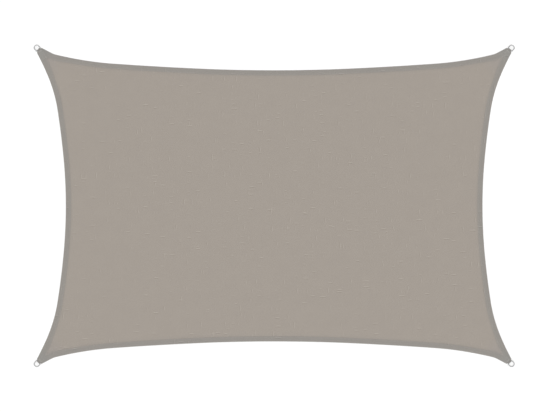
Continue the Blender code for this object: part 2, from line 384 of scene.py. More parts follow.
def pucker(outside_seam, along, near):
    """Short waves across the seam, where its thread draws the cloth in."""
    off = outside_seam - PUCKER_CENTRE
    if abs(off) > PUCKER_REACH:
        return 0.0
    turn = TURN * along / hem_line.total
    radius = hem_line.total / (TURN * PUCKER_WAVE)
    place = (radius * math.cos(turn), radius * math.sin(turn), outside_seam / PUCKER_ACROSS)
    strength = bell(off / PUCKER_HALF) * ramp(near, *PUCKER_FROM_TIP)
    return PUCKER * (1 + noise.noise(place)) * strength


def lift(x, y):
    """How far the cloth is off the surface it lies on, apart from what its stitching draws in."""
    inside, _ = outline.place(x, y)
    hem_inside, along = hem_line.place(x, y)
    near = math.hypot(*corner_place(x, y))
    return swell(x, y, inside) + ridges(x, y) + pucker(-hem_inside, along, near)


def underside(x, y):
    """Height of the cloth's lower face, with a groove along each row of stitching."""
    hem_inside, _ = hem_line.place(x, y)
    back, across = corner_place(x, y)
    groove = max(bell((-hem_inside - row) / SEAM_GROOVE_HALF) for row in SEAM_ROWS)
    return lift(x, y) + SEAM_GROOVE * max(groove, min(corner_dip(back, across) / BOX_DIP, 1.0))


def under_stitch(x, y):
    """Height of the stitches on the underside, clear of what the cloth lies on."""
    return max(underside(x, y), SEAM_GROOVE)


def bulge(back, across):
    """From 0 on the plain hem to 1 on top of the pocket."""
    foot = BULGE_FOOT_HALF + BULGE_WIDENS * max(back - CLOTH_BACK, 0.0)
    return ramp(abs(across), foot, BULGE_TOP_HALF - foot) * ramp(back, *BULGE_ENDS)


# Stitching over the pocket, in (back, across) of its corner: a box with a cross, and a dense
# bar across the mouth end.
BOX = ((0.0245, -0.0098), (0.0245, 0.0098), (0.0395, 0.0098), (0.0395, -0.0098))
BOX_DIP, BOX_DIP_HALF = 0.00035, 0.0011
BOX_PITCH = 0.0029
BAR_TACK = (0.0170, 0.0218, 0.0112)  # first back, last back, half width
BAR_DIP, BAR_DIP_SIDE = 0.0004, (-0.0005, 0.001)
STITCHED = (0.06, 0.02)  # all of it is nearer the tip and the diagonal than this
BAR_PITCH, BAR_SLANT = 0.00062, 0.0003


def corner_lines():
    lines = [(BOX[k], BOX[(k + 1) % 4]) for k in range(4)]
    return lines + [(BOX[0], BOX[2]), (BOX[1], BOX[3])]


def off_line(back, across, line):
    (b0, a0), (b1, a1) = line
    along_b, along_a = b1 - b0, a1 - a0
    t = ((back - b0) * along_b + (across - a0) * along_a) / (along_b**2 + along_a**2)
    t = min(max(t, 0.0), 1.0)
    return math.hypot(back - b0 - t * along_b, across - a0 - t * along_a)


def corner_dip(back, across):
    """How far the stitching over the pocket draws the cloth down."""
    if back > STITCHED[0] or abs(across) > STITCHED[1]:
        return 0.0
    off = min(off_line(back, across, line) for line in corner_lines())
    first, last, half = BAR_TACK
    in_bar = 1.0
    for inside in (back - first, last - back, half - abs(across)):
        in_bar *= ramp(inside, *BAR_DIP_SIDE)
    return max(BOX_DIP * bell(off / BOX_DIP_HALF), BAR_DIP * in_bar)


def hem_top(x, y):
    """Height of the hem's upper face."""
    hem_inside, _ = hem_line.place(x, y)
    inside, _ = outline.place(x, y)
    back, across = corner_place(x, y)
    outside_seam = -hem_inside
    height = part_way(HEM_LIP, HEM_TOP, ramp(outside_seam, *HEM_RISES))
    height += HEM_CROWN * ramp(outside_seam, *CROWN_RISES) * ramp(inside, *CROWN_FALLS)
    height -= sum(SEAM_DIP * bell((outside_seam - row) / SEAM_DIP_HALF) for row in SEAM_ROWS)
    if back < CORNER_REACH:
        height = part_way(height, CORNER_TOP, bulge(back, across)) - corner_dip(back, across)
        lap = ramp(back, *LAP_RISES) * ramp(back, *LAP_FALLS)
        height += LAP * lap * ramp(across, *LAP_SIDE)
    return lift(x, y) + height


# ---- cloth


def quads(one, other):
    """Faces between two closed rings of point numbers, the second above or outside."""
    return list(zip(one, one[1:] + one[:1], other[1:] + other[:1], other))


class Builder:
    """Collects the cloth's points and faces."""

    def __init__(self):
        self.points, self.faces = [], []

    def add(self, places):
        first = len(self.points)
        self.points += [tuple(map(float, p)) for p in places]
        return list(range(first, len(self.points)))

    def strip(self, one, other, skip=()):
        self.faces += [face for k, face in enumerate(quads(one, other)) if k not in skip]

    def fill(self, rings, inner, upwards):
        """Triangles inside the first ring and outside the second, each a list of point numbers."""
        ids = [k for ring in rings for k in ring] + inner
        flat = [Vector(self.points[k][:2]) for k in ids]
        edges, start = [], 0
        for ring in rings:
            edges += [(start + k, start + (k + 1) % len(ring)) for k in range(len(ring))]
            start += len(ring)
        loops = [np.array([self.points[k][:2] for k in ring]) for ring in rings]
        verts, _, faces, sources, _, _ = geometry.delaunay_2d_cdt(flat, edges, [], 0, 1e-9)
        if len(verts) != len(ids) or any(len(s) != 1 for s in sources):
            raise ValueError("two points of the cloth fall together, or two lines cross")
        for face in faces:
            own = [sources[k][0] for k in face]
            if all(k < start for k in own):
                x = sum(flat[k].x for k in own) / 3
                y = sum(flat[k].y for k in own) / 3
                if not within(loops[0], x, y) or any(within(loop, x, y) for loop in loops[1:]):
                    continue
            numbers = [ids[k] for k in own]
            self.faces.append(tuple(numbers if upwards else numbers[::-1]))


def within(loop, x, y):
    x0, y0 = loop[:, 0], loop[:, 1]
    x1, y1 = np.roll(x0, -1), np.roll(y0, -1)
    level = (y0 > y) != (y1 > y)
    if not level.any():
        return False
    x0, y0, x1, y1 = x0[level], y0[level], x1[level], y1[level]
    return bool(((x0 + (y - y0) * (x1 - x0) / (y1 - y0)) > x).sum() % 2)


GRID_AREA = (3.2, 2.2)  # a little more than the cloth takes up


def grid(step, clear):
    """A brick grid of places, as far as they are clear of the hem's inner line."""
    found = []
    columns, rows = (math.ceil(side / step) for side in GRID_AREA)
    for j in range(rows):
        for i in range(columns):
            x = (i - columns / 2 + (j % 2) / 2) * step
            y = (j - rows / 2) * step
            if abs(x) < TIP.x and abs(y) < TIP.y and hem_line.place(x, y)[0] > clear:
                found.append((x, y))
    return found


def beside(loop, distance, every=1, tip_clear=0.0):
    """Every so many places of a line moved inwards, as far as they stay that far inside."""
    found = []
    for x, y in loop.moved(distance)[::every]:
        back, _ = corner_place(x, y)
        if back > tip_clear and abs(loop.place(x, y)[0] - distance) < 0.0004:
            found.append((x, y))
    return found


MOUTH_MARGIN = (0.0003, 0.0002)  # back and across


def in_mouth(x, y):
    back, across = corner_place(x, y)
    return back < CLOTH_BACK + MOUTH_MARGIN[0] and abs(across) < POCKET_HALF + MOUTH_MARGIN[1]


def with_height(places, height):
    return [(x, y, height(x, y)) for x, y in places]


FOLD_RINGS = (-90, -45, -6, 6, 45, 90)  # degrees round the folded edge, underside to top
MOUTH_RINGS = (  # (in from the edge, height) of the same rings at the pocket's open end
    (FOLD, 0.0),
    (0.0002, 0.0008),
    (0.0004, POCKET_LOW),
    (0.0004, POCKET_HIGH),
    (0.0001, 0.0060),
    (FOLD, CORNER_TOP - 0.0002),
)


def fold_ring(number, opened):
    angle = math.radians(FOLD_RINGS[number])
    places = []
    for point, inwards, at_mouth in zip(outline.points, outline.mitred, opened):
        if at_mouth:
            inset, z = MOUTH_RINGS[number]
        else:
            inset = FOLD * (1 - math.cos(angle))
            x, y = point + inwards * FOLD
            z = part_way(lift(x, y), hem_top(x, y), (1 + math.sin(angle)) / 2)
        places.append((*(point + inwards * inset), z))
    return places


LIP_RINGS = (  # (outwards from the hem's inner line, height above the underside)
    (0.0022, 0.00100),
    (0.0020, 0.00110),
    (0.0004, 0.00112),
    (0.0000, 0.00132),
    (0.0004, 0.00162),
    (0.0012, None),
)


def lip_ring(number):
    out, height = LIP_RINGS[number]
    return with_height(hem_line.moved(-out),
                       hem_top if height is None else lambda x, y: lift(x, y) + height)


POCKET_ROWS = (0.004, 0.016, POCKET_DEEP - CLOTH_BACK)  # how far in its walls have places


def pocket(cloth, fold, opened):
    """The inside of the pocket at each corner, between the lips at its open end."""
    for side in CORNERS.values():
        columns = [k for k, (x, y) in enumerate(outline.points)
                   if opened[k] and x * side[0] > 0 and y * side[1] > 0]
        walls = [fold[2][c] for c in columns] + [fold[3][c] for c in columns[::-1]]
        for depth in POCKET_ROWS:
            spots = []
            for x, y in outline.points[columns]:
                across = max(-POCKET_HALF, min(POCKET_HALF, corner_place(x, y)[1]))
                spots.append(at_corner(CLOTH_BACK + depth, across, *side))
            low, high = (cloth.add([(x, y, z) for x, y in spots])
                         for z in (POCKET_LOW, POCKET_HIGH))
            deeper = low + high[::-1]
            cloth.strip(walls, deeper)
            walls = deeper
        cloth.faces += zip(low, low[1:], high[1:], high)


CORNER_CLEAR = 0.0026  # between a corner's close places and the edge
CORNER_CLOSE = 0.086  # how far back they go
CORNER_STEP = 0.0018
CORNER_ROWS, CORNER_COLUMNS = 45, 24  # back from the tip, and to each side of the diagonal


def corner_grid():
    """Close places over each corner's bulge."""
    found = []
    for side in CORNERS.values():
        for i in range(CORNER_ROWS):
            for j in range(-CORNER_COLUMNS, CORNER_COLUMNS + 1):
                back = CLOTH_BACK + CORNER_CLEAR + i * CORNER_STEP
                x, y = at_corner(back, (j + (i % 2) / 2) * CORNER_STEP, *side)
                in_hem = -hem_line.place(x, y)[0] > SEAM_ROWS[0]
                if in_hem and outline.place(x, y)[0] > CORNER_CLEAR and back < CORNER_CLOSE:
                    found.append((x, y))
    return found


# Rows of places beside the hem's inner line: on the hem, how far outwards. On the field and the
# underside, (how far inwards, and one place out of how many).
HEM_ROWS = (0.0024, 0.0047, 0.0076, 0.0105, 0.0150, 0.0200, 0.0255)
HEM_CLEAR = (0.088, 0.0030)  # from the tip, and from the edge
FIELD_ROWS = ((-0.0004, 1), (0.003, 1), (0.007, 1), (0.012, 2), (0.020, 3), (0.031, 4))
UNDER_ROWS = ((-0.0098, 1), (-0.0076, 1), (-0.0050, 1), (-0.0024, 1), (0.0, 1), (0.009, 2),
              (0.022, 4))
UNDER_EDGE_ROWS = (0.006, 0.013)  # beside the outline
UNDER_CLEAR = 0.084  # from the tip


def sail_mesh():
    """The cloth: first its folded edge, pockets and hem's lip, then the faces between them."""
    cloth = Builder()
    opened = [in_mouth(x, y) for x, y in outline.points]
    fold = [cloth.add(fold_ring(k, opened)) for k in range(len(FOLD_RINGS))]
    count = len(opened)
    mouth = {k for k in range(count) if opened[k] and opened[(k + 1) % count]}
    for number in range(len(fold) - 1):
        cloth.strip(fold[number], fold[number + 1], mouth if number == 2 else ())
    pocket(cloth, fold, opened)
    lip = [cloth.add(lip_ring(k)) for k in range(len(LIP_RINGS))]
    for one, other in zip(lip, lip[1:]):
        cloth.strip(other, one)

    hem = [p for row in HEM_ROWS for p in beside(hem_line, -row)
           if corner_place(*p)[0] > HEM_CLEAR[0] and outline.place(*p)[0] > HEM_CLEAR[1]]
    hem += corner_grid()
    cloth.fill([fold[-1], lip[-1]], cloth.add(with_height(hem, hem_top)), True)

    field = [p for row, every in FIELD_ROWS
             for p in beside(hem_line, row, every, CORNER_CLOSE + 2 * row)]
    field += grid(step=0.021, clear=0.043)
    inner = cloth.add(with_height(field, lambda x, y: lift(x, y) + CLOTH))
    cloth.fill([lip[0]], inner, True)

    under = [p for row, every in UNDER_ROWS for p in beside(hem_line, row, every, UNDER_CLEAR)]
    under += [p for row in UNDER_EDGE_ROWS for p in beside(outline, row, 2, UNDER_CLEAR)]
    under += corner_grid() + grid(step=0.026, clear=0.034)
    cloth.fill([fold[0]], cloth.add(with_height(under, underside)), False)
    return cloth


# Part of the hem's tone starts at its inner edge, and the rest fades into the field. Columns:
# that part, where the rest begins to fade, in from the outline, and over what length.
HEM_TONE = (0.5, 0.014, 0.040)
HEM_TONE_AT_TIP = (0.05, 0.0315, 0.010)
TIP_TONE, CORNER_TONE = (0.15, -0.06), (0.20, -0.15)  # from the tip
# Wear along the fold, and a painted highlight where the rounded fold catches the light: both fade
# over this band
WEAR_AND_HIGHLIGHT_BAND = (0.009, -0.008)  # in from the edge


def shares(places):
    """For each point, from 0 to 1: its share of the hem's tone, how near it is to a corner, and
    how much it is lightened along the fold by wear and a painted highlight."""
    hem, corner, wear_and_highlight = [], [], []
    for x, y, z in places:
        inside, _ = outline.place(x, y)
        hem_inside, _ = hem_line.place(x, y)
        back, across = corner_place(x, y)
        on_field = abs(z - lift(x, y) - CLOTH) < 0.00004
        double = 1.0 if hem_inside < 0.0001 and not on_field else 0.0
        near = math.hypot(back, across)
        at_tip = ramp(near, *TIP_TONE)
        step, first, over = (part_way(*pair, at_tip) for pair in zip(HEM_TONE, HEM_TONE_AT_TIP))
        hem.append(step * double + (1 - step) * (1 - ramp(inside, first, over)))
        corner.append(straight_ramp(near, *CORNER_TONE))
        wear_and_highlight.append(ramp(inside, *WEAR_AND_HIGHLIGHT_BAND))
    return hem, corner, wear_and_highlight


def new_mesh(name, points, faces, material):
    mesh = bpy.data.meshes.new(name)
    mesh.from_pydata(points, [], faces)
    mesh.materials.append(material)
    mesh.shade_smooth()
    mesh.update()
    return mesh


def new_object(name, points, faces, material):
    obj = bpy.data.objects.new(name, new_mesh(name, points, faces, material))
    bpy.context.scene.collection.objects.link(obj)
    return obj


def float_attribute(mesh, name, values):
    layer = mesh.attributes.new(name, "FLOAT", "POINT")
    layer.data.foreach_set("value", values)


# ---- thread


# Rings round a stitch. Columns: along it, -1 to 1, height as a share of its rise, and radius as
# a share of the thread's.
STITCH_RINGS = ((-0.93, -0.6, 0.75), (-0.55, 0.8, 1.0), (0.55, 0.8, 1.0), (0.93, -0.6, 0.75))
STITCH_ENDS = -2.2  # their height


def thread_template(length, rise):
    """One stitch along X: its ends dive into the cloth. A negative rise is for the underside."""
    half = length / 2
    points = [(-half, 0.0, STITCH_ENDS * rise)]
    for along, high, thick in STITCH_RINGS:
        for k in range(6):
            a = math.pi / 3 * k
            off, up = THREAD * thick * math.cos(a), THREAD * thick * math.sin(a)
            points.append((half * along, off, high * rise + up))
    points.append((half, 0.0, STITCH_ENDS * rise))
    faces = [(0, 1 + (k + 1) % 6, 1 + k) for k in range(6)]
    for first in (1, 7, 13):
        faces += quads([*range(first, first + 6)], [*range(first + 6, first + 12)])
    faces += [(25, 19 + k, 19 + (k + 1) % 6) for k in range(6)]
    return points, faces


def stitches(name, groups, material):
    """A mesh of many stitches. Groups: their length, their rise, and the two ends of each."""
    points, faces = [], []
    for length, rise, ends in groups:
        template, shape = thread_template(length, rise)
        ends = np.array(ends)
        along = ends[:, 1] - ends[:, 0]
        along /= np.linalg.norm(along, axis=1)[:, None]
        side = np.cross((0.0, 0.0, 1.0), along)
        side /= np.linalg.norm(side, axis=1)[:, None]
        axes = np.stack((along, side, np.cross(along, side)), axis=1)
        placed = ends.mean(axis=1)[:, None] + np.array(template) @ axes
        firsts = range(len(points), len(points) + len(ends) * len(template), len(template))
        faces += [tuple(first + k for k in face) for first in firsts for face in shape]
        points += placed.reshape(-1, 3).tolist()
    return new_object(name, points, faces, material)


def seam_ends(row, height):
    """Evenly spaced stitches along the hem's inner line, moved outwards."""
    line = hem_line.moved(-row)
    ahead = np.roll(line, -1, axis=0) - line
    lengths = np.hypot(ahead[:, 0], ahead[:, 1])
    along = np.concatenate(([0.0], np.cumsum(lengths)))
    count = round(along[-1] / SEAM_PITCH)
    pairs = []
    for k in range(count):
        middle = along[-1] * (k + 0.5) / count
        ends = []
        for spot in (middle - SEAM_STITCH / 2, middle + SEAM_STITCH / 2):
            spot %= along[-1]
            i = min(int(np.searchsorted(along, spot, side="right")) - 1, len(line) - 1)
            ends.append(line[i] + ahead[i] * ((spot - along[i]) / lengths[i]))
        pairs.append(with_height(ends, height))
    return pairs


def pocket_ends(side, height):
    """The box, the cross and the dense bar over one corner's pocket."""
    pairs = []
    for (b0, a0), (b1, a1) in corner_lines():
        length = math.hypot(b1 - b0, a1 - a0)
        count = max(round(length / BOX_PITCH), 1)
        for k in range(count):
            t0, t1 = (k + 0.10) / count, (k + 0.90) / count
            pairs.append(((b0 + (b1 - b0) * t0, a0 + (a1 - a0) * t0),
                          (b0 + (b1 - b0) * t1, a0 + (a1 - a0) * t1)))
    first, last, half = BAR_TACK
    count = round(2 * half / BAR_PITCH)
    for k in range(count):
        across = -half + 2 * half * (k + 0.5) / count
        slant = BAR_SLANT * (1 if k % 2 else -1)
        pairs.append(((first, across - slant), (last, across + slant)))
    return [with_height([at_corner(*end, *side) for end in pair], height) for pair in pairs]


def by_length(pairs, rise):
    groups = {}
    for start, finish in pairs:
        groups.setdefault(round(math.dist(start, finish), 4), []).append((start, finish))
    return [(length, rise, members) for length, members in groups.items()]


# ---- webbing and rings


def corner_matrix(side_x, side_y):
    """A frame at a corner's tip: X outwards along the diagonal, Z up."""
    heading = math.atan2(side_y, side_x)
    place = Matrix.Translation((side_x * TIP.x, side_y * TIP.y, 0.0))
    return place @ Matrix.Rotation(heading, 4, "Z")


def arc(x, y, radius, first, turn, steps):
    angles = [first + turn * k / steps for k in range(steps + 1)]
    return [(x + radius * math.cos(a), y + radius * math.sin(a)) for a in angles]


def loop_path():
    """The middle of the webbing seen from its side: out of the corner, round the bar and back."""
    bar = Vector((-BAR_BACK, BAR_HEIGHT))
    radius = WIRE / 2 + CLEARANCE + WEBBING / 2
    end = -(CLOTH_BACK + LEG)
    mouth = -CLOTH_BACK + WEBBING / 3
    low = POCKET_LOW + CLEARANCE + WEBBING / 2
    high = low + WEBBING + CLEARANCE
    from_low, from_high = bar - Vector((mouth, low)), bar - Vector((mouth, high))
    down = math.asin(radius / from_low.length) - math.atan2(from_low.y, from_low.x)
    up = math.asin(radius / from_high.length) + math.atan2(from_high.y, from_high.x)
    start, turn = -math.pi / 2 - down, math.pi + down + up
    bend = [Vector(p) for p in arc(*bar, radius, start, turn, 26)]
    inner, outer = Vector((mouth, low)), Vector((mouth, high))
    out = [Vector((x, low)) for x in (end, *LEG_ROWS)]
    out += [inner.lerp(bend[0], k / 8) for k in range(8)]
    back = [bend[-1].lerp(outer, k / 8) for k in range(1, 9)]
    back += [Vector((x, high)) for x in (*LEG_ROWS[::-1], end)]
    return out + bend + back


def loop_mesh(material):
    """The webbing with its lengthwise ribs, and small cross bumps where the weft passes over."""
    path = loop_path()
    across = [(k / LOOP_COLUMNS - 0.5) * LOOP_WIDTH for k in range(LOOP_COLUMNS + 1)]
    points, faces, run, rows = [], [], [], []
    travelled = 0.0
    for k, spot in enumerate(path):
        before, after = path[max(k - 1, 0)], path[min(k + 1, len(path) - 1)]
        travelled += (spot - path[k - 1]).length if k else 0.0
        along = (after - before).normalized()
        out = Vector((-along.y, along.x))
        row = []
        for face in (-1, 1):
            for v in across if face < 0 else across[::-1]:
                rib = (v / LOOP_WIDTH + 0.5) * RIBS
                ribbed = abs(math.sin(math.pi * rib))
                weft = 0.5 + 0.5 * math.sin(TURN * travelled / WEFT + math.pi * int(rib))
                edge = min(1.0, LOOP_EDGE[0] + (LOOP_WIDTH / 2 - abs(v)) / LOOP_EDGE[1])
                depth = (WEBBING / 2 - RIB) * edge + RIB * ribbed * (0.55 + 0.45 * weft)
                place = spot - out * face * depth
                row.append(len(points))
                points.append((place.x, v, place.y))
                run.append(travelled)
        rows.append(row)
    for one, other in zip(rows, rows[1:]):
        faces += quads(other, one)
    faces += [tuple(rows[0]), tuple(rows[-1][::-1])]
    mesh = new_mesh("webbing_loop", points, faces, material)
    float_attribute(mesh, "run", run)
    return mesh


def ring_path():
    """The middle of the ring's wire: bar, rounded corners, legs and a half-round bow."""
    bow_x = BAR_BACK + BOW_CENTRE
    turn = RING_HALF_WIDTH - RING_CORNER
    leg = [part_way(RING_CORNER, bow_x, k / 5) for k in range(1, 5)]
    points = arc(RING_CORNER, -turn, RING_CORNER, math.pi, math.pi / 2, 10)
    points += [(x, -RING_HALF_WIDTH) for x in leg]
    points += arc(bow_x, 0.0, RING_HALF_WIDTH, -math.pi / 2, math.pi, 48)
    points += [(x, RING_HALF_WIDTH) for x in leg[::-1]]
    points += arc(RING_CORNER, turn, RING_CORNER, math.pi / 2, math.pi / 2, 10)
    return points + [(0.0, turn * (1 - 2 * k / 12)) for k in range(1, 12)]


def ring_mesh(material):
    """The bent wire, with a low weld bead round the middle of its bar."""
    path = [Vector((x, y, 0.0)) for x, y in ring_path()]
    up = Vector((0.0, 0.0, 1.0))
    count, sides = len(path), 24
    points, faces = [], []
    rings = [[*range(first, first + sides)] for first in range(0, count * sides, sides)]
    for k, spot in enumerate(path):
        along = (path[(k + 1) % count] - path[k - 1]).normalized()
        out = Vector((-along.y, along.x, 0.0))
        on_bar = spot.x < 0.0001
        radius = WIRE / 2 + (BEAD * bell(spot.y / BEAD_HALF) if on_bar else 0.0)
        for s in range(sides):
            a = TURN * s / sides
            points.append(tuple(spot + (out * math.cos(a) + up * math.sin(a)) * radius))
        faces += quads(rings[k], rings[(k + 1) % count])
    return new_mesh("ring", points, faces, material)


def ring_tilt():
    """How far the ring tips down from its bar to rest on the surface."""
    reach = BAR_BACK + BOW_CENTRE + RING_HALF_WIDTH
    return math.asin((BAR_HEIGHT - WIRE / 2) / reach)


# ---- materials


class Nodes:
    """A material's node tree, with short calls for the nodes that are used here."""

    def __init__(self, name, roughness, metallic=0.0):
        self.material = bpy.data.materials.new(name)
        self.material.use_nodes = True
        self.tree = self.material.node_tree
        self.shader = self.tree.nodes["Principled BSDF"]
        self.shader.inputs["Roughness"].default_value = roughness
        self.shader.inputs["Metallic"].default_value = metallic
        self.place = self.new("ShaderNodeTexCoord").outputs["Object"]

    def new(self, kind, **settings):
        node = self.tree.nodes.new(kind)
        for key, value in settings.items():
            setattr(node, key, value)
        return node

    def put(self, socket, value):
        if isinstance(value, bpy.types.NodeSocket):
            self.tree.links.new(value, socket)
        else:
            socket.default_value = value

    def math(self, operation, *values, clamp=False):
        node = self.new("ShaderNodeMath", operation=operation, use_clamp=clamp)
        for socket, value in zip(node.inputs, values):
            self.put(socket, value)
        return node.outputs[0]

    def swing(self, value, size):
        """A value from 0 to 1 turned into one from minus half the size to plus half of it."""
        return self.math("MULTIPLY_ADD", value, size, -size / 2)

    def axes(self):
        node = self.new("ShaderNodeSeparateXYZ")
        self.put(node.inputs[0], self.place)
        return node.outputs

    def joined(self, x, y):
        node = self.new("ShaderNodeCombineXYZ")
        self.put(node.inputs[0], x)
        self.put(node.inputs[1], y)
        return node.outputs[0]

    def stretched(self, *scale):
        node = self.new("ShaderNodeMapping")
        self.put(node.inputs["Vector"], self.place)
        node.inputs["Scale"].default_value = scale
        return node.outputs[0]

    def noise(self, vector, detail=2.0, roughness=0.5):
        node = self.new("ShaderNodeTexNoise")
        self.put(node.inputs["Vector"], vector)
        node.inputs["Scale"].default_value = 1.0
        node.inputs["Detail"].default_value = detail
        node.inputs["Roughness"].default_value = roughness
        return node.outputs["Fac"]

    def between(self, value, low, high, to_low=0.0, to_high=1.0):
        node = self.new("ShaderNodeMapRange", clamp=True)
        for socket, given in zip(node.inputs, (value, low, high, to_low, to_high)):
            self.put(socket, given)
        return node.outputs[0]

    def mix(self, share, one, other):
        node = self.new("ShaderNodeMix", data_type="RGBA")
        self.put(node.inputs[0], share)
        for socket, value in ((node.inputs[6], one), (node.inputs[7], other)):
            self.put(socket, value if isinstance(value, bpy.types.NodeSocket) else (*value, 1.0))
        return node.outputs[2]

    def scaled(self, colour, factor):
        """A colour made lighter or darker by a factor."""
        node = self.new("ShaderNodeVectorMath", operation="SCALE")
        self.put(node.inputs[0], colour)
        self.put(node.inputs["Scale"], factor)
        return node.outputs[0]

    def attribute(self, name):
        return self.new("ShaderNodeAttribute", attribute_name=name).outputs["Fac"]

    def bump(self, height, distance, strength=1.0, below=None):
        node = self.new("ShaderNodeBump")
        node.inputs["Strength"].default_value = strength
        node.inputs["Distance"].default_value = distance
        self.put(node.inputs["Height"], height)
        if below is not None:
            self.put(node.inputs["Normal"], below)
        return node.outputs[0]

    def finish(self, colour, normal=None):
        self.put(self.shader.inputs["Base Color"], colour)
        if normal is not None:
            self.put(self.shader.inputs["Normal"], normal)
        return self.material


WALE = 0.0030  # spacing of the knit's upright chains
COURSE = 0.0022  # spacing of its cross rows
# Painted shade: the knit is darker where it is lower, in its openings and at the sides of its
# chains, by this share of its height
KNIT_HOLLOW_SHADE = 0.32
KNIT_MEAN = 0.46  # mean height of the knit, on its own scale from 0 to 1
KNIT_SWAY = (0.9, -0.8)  # how far its lines wander, in chains and in cross rows
CHAIN_FOOT, CHAIN_CLOSES = 0.155, -0.115  # each loop's two legs, off the chain's middle
CHAIN_HALF = 0.085
TAPE_HALF = 0.44
TAPE_HEIGHT, STRAND_HEIGHT = 0.601, 0.049
STRANDS = 5  # to a tape
TAPE_OWN = 0.07  # how much the tapes differ in lightness
FIELD_COLOUR = (0.339, 0.302, 0.265)
FIELD_NEAR_CORNER = (0.325, 0.294, 0.267)
HEM_COLOUR = (0.280, 0.262, 0.240)
CORNER_COLOUR = (0.275, 0.265, 0.247)
WEBBING_COLOUR = (0.262, 0.252, 0.240)
THREAD_COLOUR = (0.390, 0.375, 0.354)
# Partly wear and partly a painted highlight where the rounded fold catches the light
WEAR_AND_HIGHLIGHT = 0.04  # how much lighter the cloth is along its fold
SLUB_LENGTH = 0.055
SLUB_FROM, SLUB_FULL = 0.785, 0.865  # heights in the noise that places the slubs
CHAIN_SLUB, TAPE_SLUB = (0.28, 0.22), (0.24, 0.19)  # how much lighter, and darker beside it


def slubs(n, row, along, strengths):
    """Thick places in the yarn: a row is lighter for some centimetres, its neighbour darker."""
    marks = []
    for shift, strength in zip((0.5, 3.5), strengths):
        place = n.joined(n.math("MULTIPLY_ADD", row, 3.0, shift),
                         n.math("DIVIDE", along, SLUB_LENGTH))
        mark = n.between(n.noise(place, 0.0), SLUB_FROM, SLUB_FULL)
        marks.append(n.math("MULTIPLY", mark, strength))
    return n.math("SUBTRACT", *marks)


def ridge(n, off, half):
    """A rounded ridge, 1 on its line and 0 from half away."""
    ratio = n.math("DIVIDE", off, half)
    return n.math("SUBTRACT", 1.0, n.math("MULTIPLY", ratio, ratio), clamp=True)


def knit(n):
    """Upright chains of loops, with tapes that zigzag between them: height, and lightness with
    painted shade in the knit's hollows.
    """
    x, y, _ = n.axes()
    sway = n.noise(n.stretched(9.0, 13.0, 1.0), 1.0)
    u, v = (n.math("ADD", n.math("DIVIDE", axis, spacing), n.math("MULTIPLY", sway, strength))
            for axis, spacing, strength in zip((x, y), (WALE, COURSE), KNIT_SWAY))
    off = n.math("ABSOLUTE", n.math("SUBTRACT", n.math("FRACT", u), 0.5))
    leg = n.math("MULTIPLY_ADD", n.math("FRACT", v), CHAIN_CLOSES, CHAIN_FOOT)
    chain = ridge(n, n.math("ABSOLUTE", n.math("SUBTRACT", off, leg)), CHAIN_HALF)
    chain = n.math("MULTIPLY", chain, n.math("MULTIPLY_ADD", ridge(n, off, 0.25), 0.25, 0.75))

    slant = n.math("ADD", v, n.math("PINGPONG", n.math("ADD", u, 0.5), 1.0))
    along_row = n.math("FRACT", slant)
    strands = n.math("COSINE", n.math("MULTIPLY", along_row, STRANDS * TURN))
    strands = n.math("MULTIPLY_ADD", strands, STRAND_HEIGHT, TAPE_HEIGHT)
    tape = ridge(n, n.math("ABSOLUTE", n.math("SUBTRACT", along_row, 0.5)), TAPE_HALF)
    height = n.math("MAXIMUM", chain, n.math("MULTIPLY", tape, strands))

    cell = n.joined(n.math("FLOOR", n.math("ADD", u, 0.5)), n.math("FLOOR", slant))
    own = n.new("ShaderNodeTexWhiteNoise", noise_dimensions="2D")
    n.put(own.inputs["Vector"], cell)
    pair_of_rows = n.math("FLOOR", n.math("MULTIPLY", slant, 0.5))
    # Painted shade: lightness follows the knit's height, so its openings and hollows are darker
    light = n.math("MULTIPLY_ADD", height, KNIT_HOLLOW_SHADE, 1.0 - KNIT_MEAN * KNIT_HOLLOW_SHADE)
    for change in (n.swing(own.outputs["Value"], TAPE_OWN),
                   slubs(n, n.math("FLOOR", u), y, CHAIN_SLUB),
                   slubs(n, pair_of_rows, x, TAPE_SLUB)):
        light = n.math("ADD", light, change)
    return height, light


def sail_material():
    """Knitted shade cloth, with slubs and slow mottling, painted shade in the knit's hollows, and a
    fold lightened by wear and a painted highlight.
    """
    n = Nodes("sail_knit", 0.78)
    n.shader.inputs["Sheen Weight"].default_value = 0.08
    n.shader.inputs["Sheen Roughness"].default_value = 0.45
    n.shader.inputs["Specular IOR Level"].default_value = 0.30
    height, light = knit(n)
    crumple = n.noise(n.stretched(9.0, 9.0, 9.0), 4.0, 0.55)
    normal = n.bump(crumple, 0.004, 0.35)
    normal = n.bump(height, 0.00040, 1.0, normal)

    hem, corner = n.attribute("hem"), n.attribute("corner")
    field = n.mix(n.between(corner, 0.0, 0.6), FIELD_COLOUR, FIELD_NEAR_CORNER)
    turned = n.mix(n.between(corner, 0.6, 1.0), HEM_COLOUR, CORNER_COLOUR)
    colour = n.mix(hem, field, turned)
    mottle = n.noise(n.stretched(11.0, 13.0, 1.0), 3.0, 0.6)
    light = n.math("ADD", light, n.swing(mottle, 0.06))
    # Lighter along the fold: wear, and a painted highlight where the fold catches the light.
    light = n.math("MULTIPLY_ADD", n.attribute("wear_and_highlight"), WEAR_AND_HIGHLIGHT, light)
    return n.finish(n.scaled(colour, light), normal)


